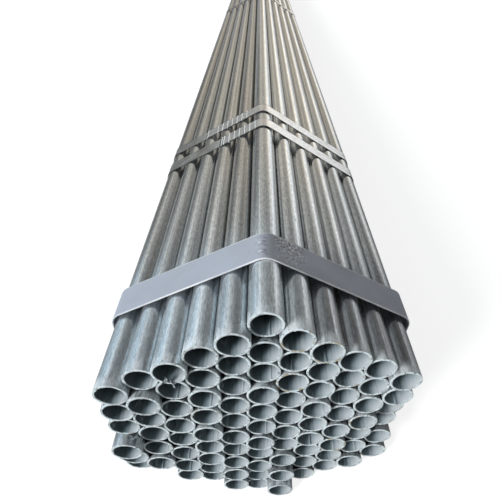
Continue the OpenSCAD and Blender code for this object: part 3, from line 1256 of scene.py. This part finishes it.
def pale_ground(stage):
    """Floor that stays pale to the eye and keeps the shadow, and whose glow in reflections has a painted
    shadow near the bundle.
    """
    material = bpy.data.materials.new("pale_ground")
    nodes = cleared(material)
    path = nodes.add("ShaderNodeLightPath").outputs
    eye = nodes.math("MAXIMUM", path["Is Camera Ray"], path["Is Transmission Ray"])
    place = nodes.axes(nodes.add("ShaderNodeTexCoord").outputs["Object"])
    reach = nodes.share(place["X"], 0.0, MIRRORED_REACH, kind="LINEAR")
    ramps = []
    for stops in (MIRRORED_NEAR, MIRRORED_FAR):
        greys = [(away / MIRRORED_REACH, [level * stage.mirrored_glow] * 3) for away, level in stops]
        ramps.append(nodes.ramp(reach, greys))
    shown = nodes.blend(nodes.share(place["Y"], *MIRRORED_TURN, kind="LINEAR"), *ramps)
    glow = nodes.math("MULTIPLY_ADD", path["Is Glossy Ray"], shown, nodes.times(eye, stage.floor_glow))
    matt = nodes.first("ShaderNodeBsdfDiffuse", {"Color": solid(stage.floor)})
    light = nodes.first("ShaderNodeEmission", {"Strength": glow})
    both = nodes.first("ShaderNodeAddShader", {0: matt, 1: light})
    nodes.add("ShaderNodeOutputMaterial", {"Surface": both})
    return material


def sheet_object(name, corners, material):
    """A flat sheet of the stage."""
    mesh = bpy.data.meshes.new(name)
    mesh.from_pydata(corners, [], [tuple(range(len(corners)))])
    mesh.materials.append(material)
    sheet = bpy.data.objects.new(name, mesh)
    bpy.context.scene.collection.objects.link(sheet)


def soft_sky(stage):
    """Surroundings: a bright strip along the tubes overhead, blue on the left, dark on the right."""
    world = bpy.data.worlds.new("soft_sky")
    bpy.context.scene.world = world
    nodes = cleared(world)
    way = nodes.axes(nodes.add("ShaderNodeTexCoord").outputs["Generated"])
    around = nodes.share(nodes.math("ARCTAN2", way["Z"], way["X"]), 0.0, math.pi, kind="LINEAR")
    ramps = []
    for stops in (SKY_STEEP, SKY_MIDDLE, SKY_LOW):
        tints = [(angle / HALF_TURN, [level * part for part in tint]) for angle, level, tint in stops]
        ramps.append(nodes.ramp(around, tints))
    colour = ramps[0]
    for after, start, end in zip(ramps[1:], SKY_LEANS, SKY_LEANS[1:]):
        colour = nodes.blend(nodes.share(way["Y"], start, end), colour, after)
    path = nodes.add("ShaderNodeLightPath").outputs
    front = nodes.math("MULTIPLY_ADD", path["Is Glossy Ray"], FRONT_MIRRORED, FRONT_SKY)
    strength = nodes.share(way["Y"], *FRONT_LEAN, front, stage.sky, "LINEAR")
    light = nodes.first("ShaderNodeBackground", {"Color": colour, "Strength": strength})
    pale = nodes.first("ShaderNodeBackground", {"Color": solid(WHITE), "Strength": 1.0})
    seen = nodes.first("ShaderNodeMixShader", {0: path["Is Camera Ray"], 1: light, 2: pale})
    nodes.add("ShaderNodeOutputWorld", {"Surface": seen})


def key_light(stage):
    """Soft light from high on the front left."""
    lamp = bpy.data.lights.new("key", "SUN")
    lamp.energy = stage.key
    lamp.angle = KEY_SOFTNESS
    lamp.color = KEY_TINT
    holder = bpy.data.objects.new("key", lamp)
    holder.visible_glossy = False
    holder.rotation_euler = Vector(KEY_DIRECTION).to_track_quat("Z", "Y").to_euler()
    bpy.context.scene.collection.objects.link(holder)


def photo_camera(stage):
    """Camera at the photograph's viewing angle, turned with the bundle onto its flat side."""
    forward = Vector((
        math.sin(CAMERA_YAW) * math.cos(CAMERA_PITCH),
        math.cos(CAMERA_YAW) * math.cos(CAMERA_PITCH),
        -math.sin(CAMERA_PITCH),
    ))
    level = Vector((math.cos(CAMERA_YAW), -math.sin(CAMERA_YAW), 0.0))
    upright = level.cross(forward)
    right = level * math.cos(CAMERA_ROLL) + upright * math.sin(CAMERA_ROLL)
    up = upright * math.cos(CAMERA_ROLL) - level * math.sin(CAMERA_ROLL)
    turn = Matrix.Rotation(BUNDLE_TURN, 3, "Y")
    axes = Matrix((turn @ right, turn @ up, turn @ -forward)).transposed()
    data = bpy.data.cameras.new("photo_camera")
    data.sensor_width = SENSOR
    data.lens = SENSOR * stage.focal
    data.shift_x, data.shift_y = CAMERA_SHIFT
    data.clip_start, data.clip_end = CAMERA_CLIP
    camera = bpy.data.objects.new("photo_camera", data)
    front = hoop_middle(BANDS[0])[0] - BAND_INSET
    eye = turn @ Vector(CAMERA_EYE) + Vector((0.0, front, AXIS_HEIGHT))
    camera.matrix_world = Matrix.Translation(eye) @ axes.to_4x4()
    bpy.context.scene.collection.objects.link(camera)
    bpy.context.scene.camera = camera


class BUNDLE_OT_stage(bpy.types.Operator):
    """Makes the camera, the floor, the backdrop and the light"""

    bl_idname = "bundle.stage"
    bl_label = "Stage"

    def execute(self, context):
        _, _, stage = look()
        context.scene.view_settings.view_transform = "Standard"
        photo_camera(stage)
        ground = pale_ground(stage)
        side, back, high = FLOOR_REACH, WALL_PLACE, WALL_HEIGHT
        floor = [(-side, -side, 0), (side, -side, 0), (side, side, 0), (-side, side, 0)]
        backdrop = [(-side, back, 0), (0, back, 0), (0, back, high), (-side, back, high)]
        sheet_object("floor", floor, ground)
        sheet_object("backdrop", backdrop, ground)
        soft_sky(stage)
        key_light(stage)
        return {"FINISHED"}


class BUNDLE_PT_panel(bpy.types.Panel):
    """Lists what makes the bundle"""

    bl_idname = "BUNDLE_PT_panel"
    bl_label = "Tube bundle"
    bl_space_type = "VIEW_3D"
    bl_region_type = "UI"
    bl_category = "Tube bundle"

    def draw(self, context):
        for operator in OPERATORS:
            self.layout.operator(operator.bl_idname)
        for settings in look():
            box = self.layout.box()
            for name in settings.__annotations__:
                box.prop(settings, name)


OPERATORS = (BUNDLE_OT_stage, BUNDLE_OT_tubes, BUNDLE_OT_burr, BUNDLE_OT_bands, BUNDLE_OT_straps)
SETTINGS = {"bundle_tubes": TubeLook, "bundle_hoops": HoopLook, "bundle_stage": StageLook}


def register():
    """Registers the settings, the operators and the panel."""
    for name, group in SETTINGS.items():
        bpy.utils.register_class(group)
        setattr(bpy.types.Scene, name, bpy.props.PointerProperty(type=group))
    for kind in (*OPERATORS, BUNDLE_PT_panel):
        bpy.utils.register_class(kind)


def unregister():
    """Takes them away again."""
    for kind in (BUNDLE_PT_panel, *reversed(OPERATORS)):
        bpy.utils.unregister_class(kind)
    for name, group in SETTINGS.items():
        delattr(bpy.types.Scene, name)
        bpy.utils.unregister_class(group)


def main():
    """Builds the bundle and its stage."""
    register()
    bpy.ops.bundle.stage()
    bpy.ops.bundle.tubes()
    bpy.ops.bundle.burr()
    bpy.ops.bundle.bands()
    bpy.ops.bundle.straps()


if __name__ == "__main__":
    main()
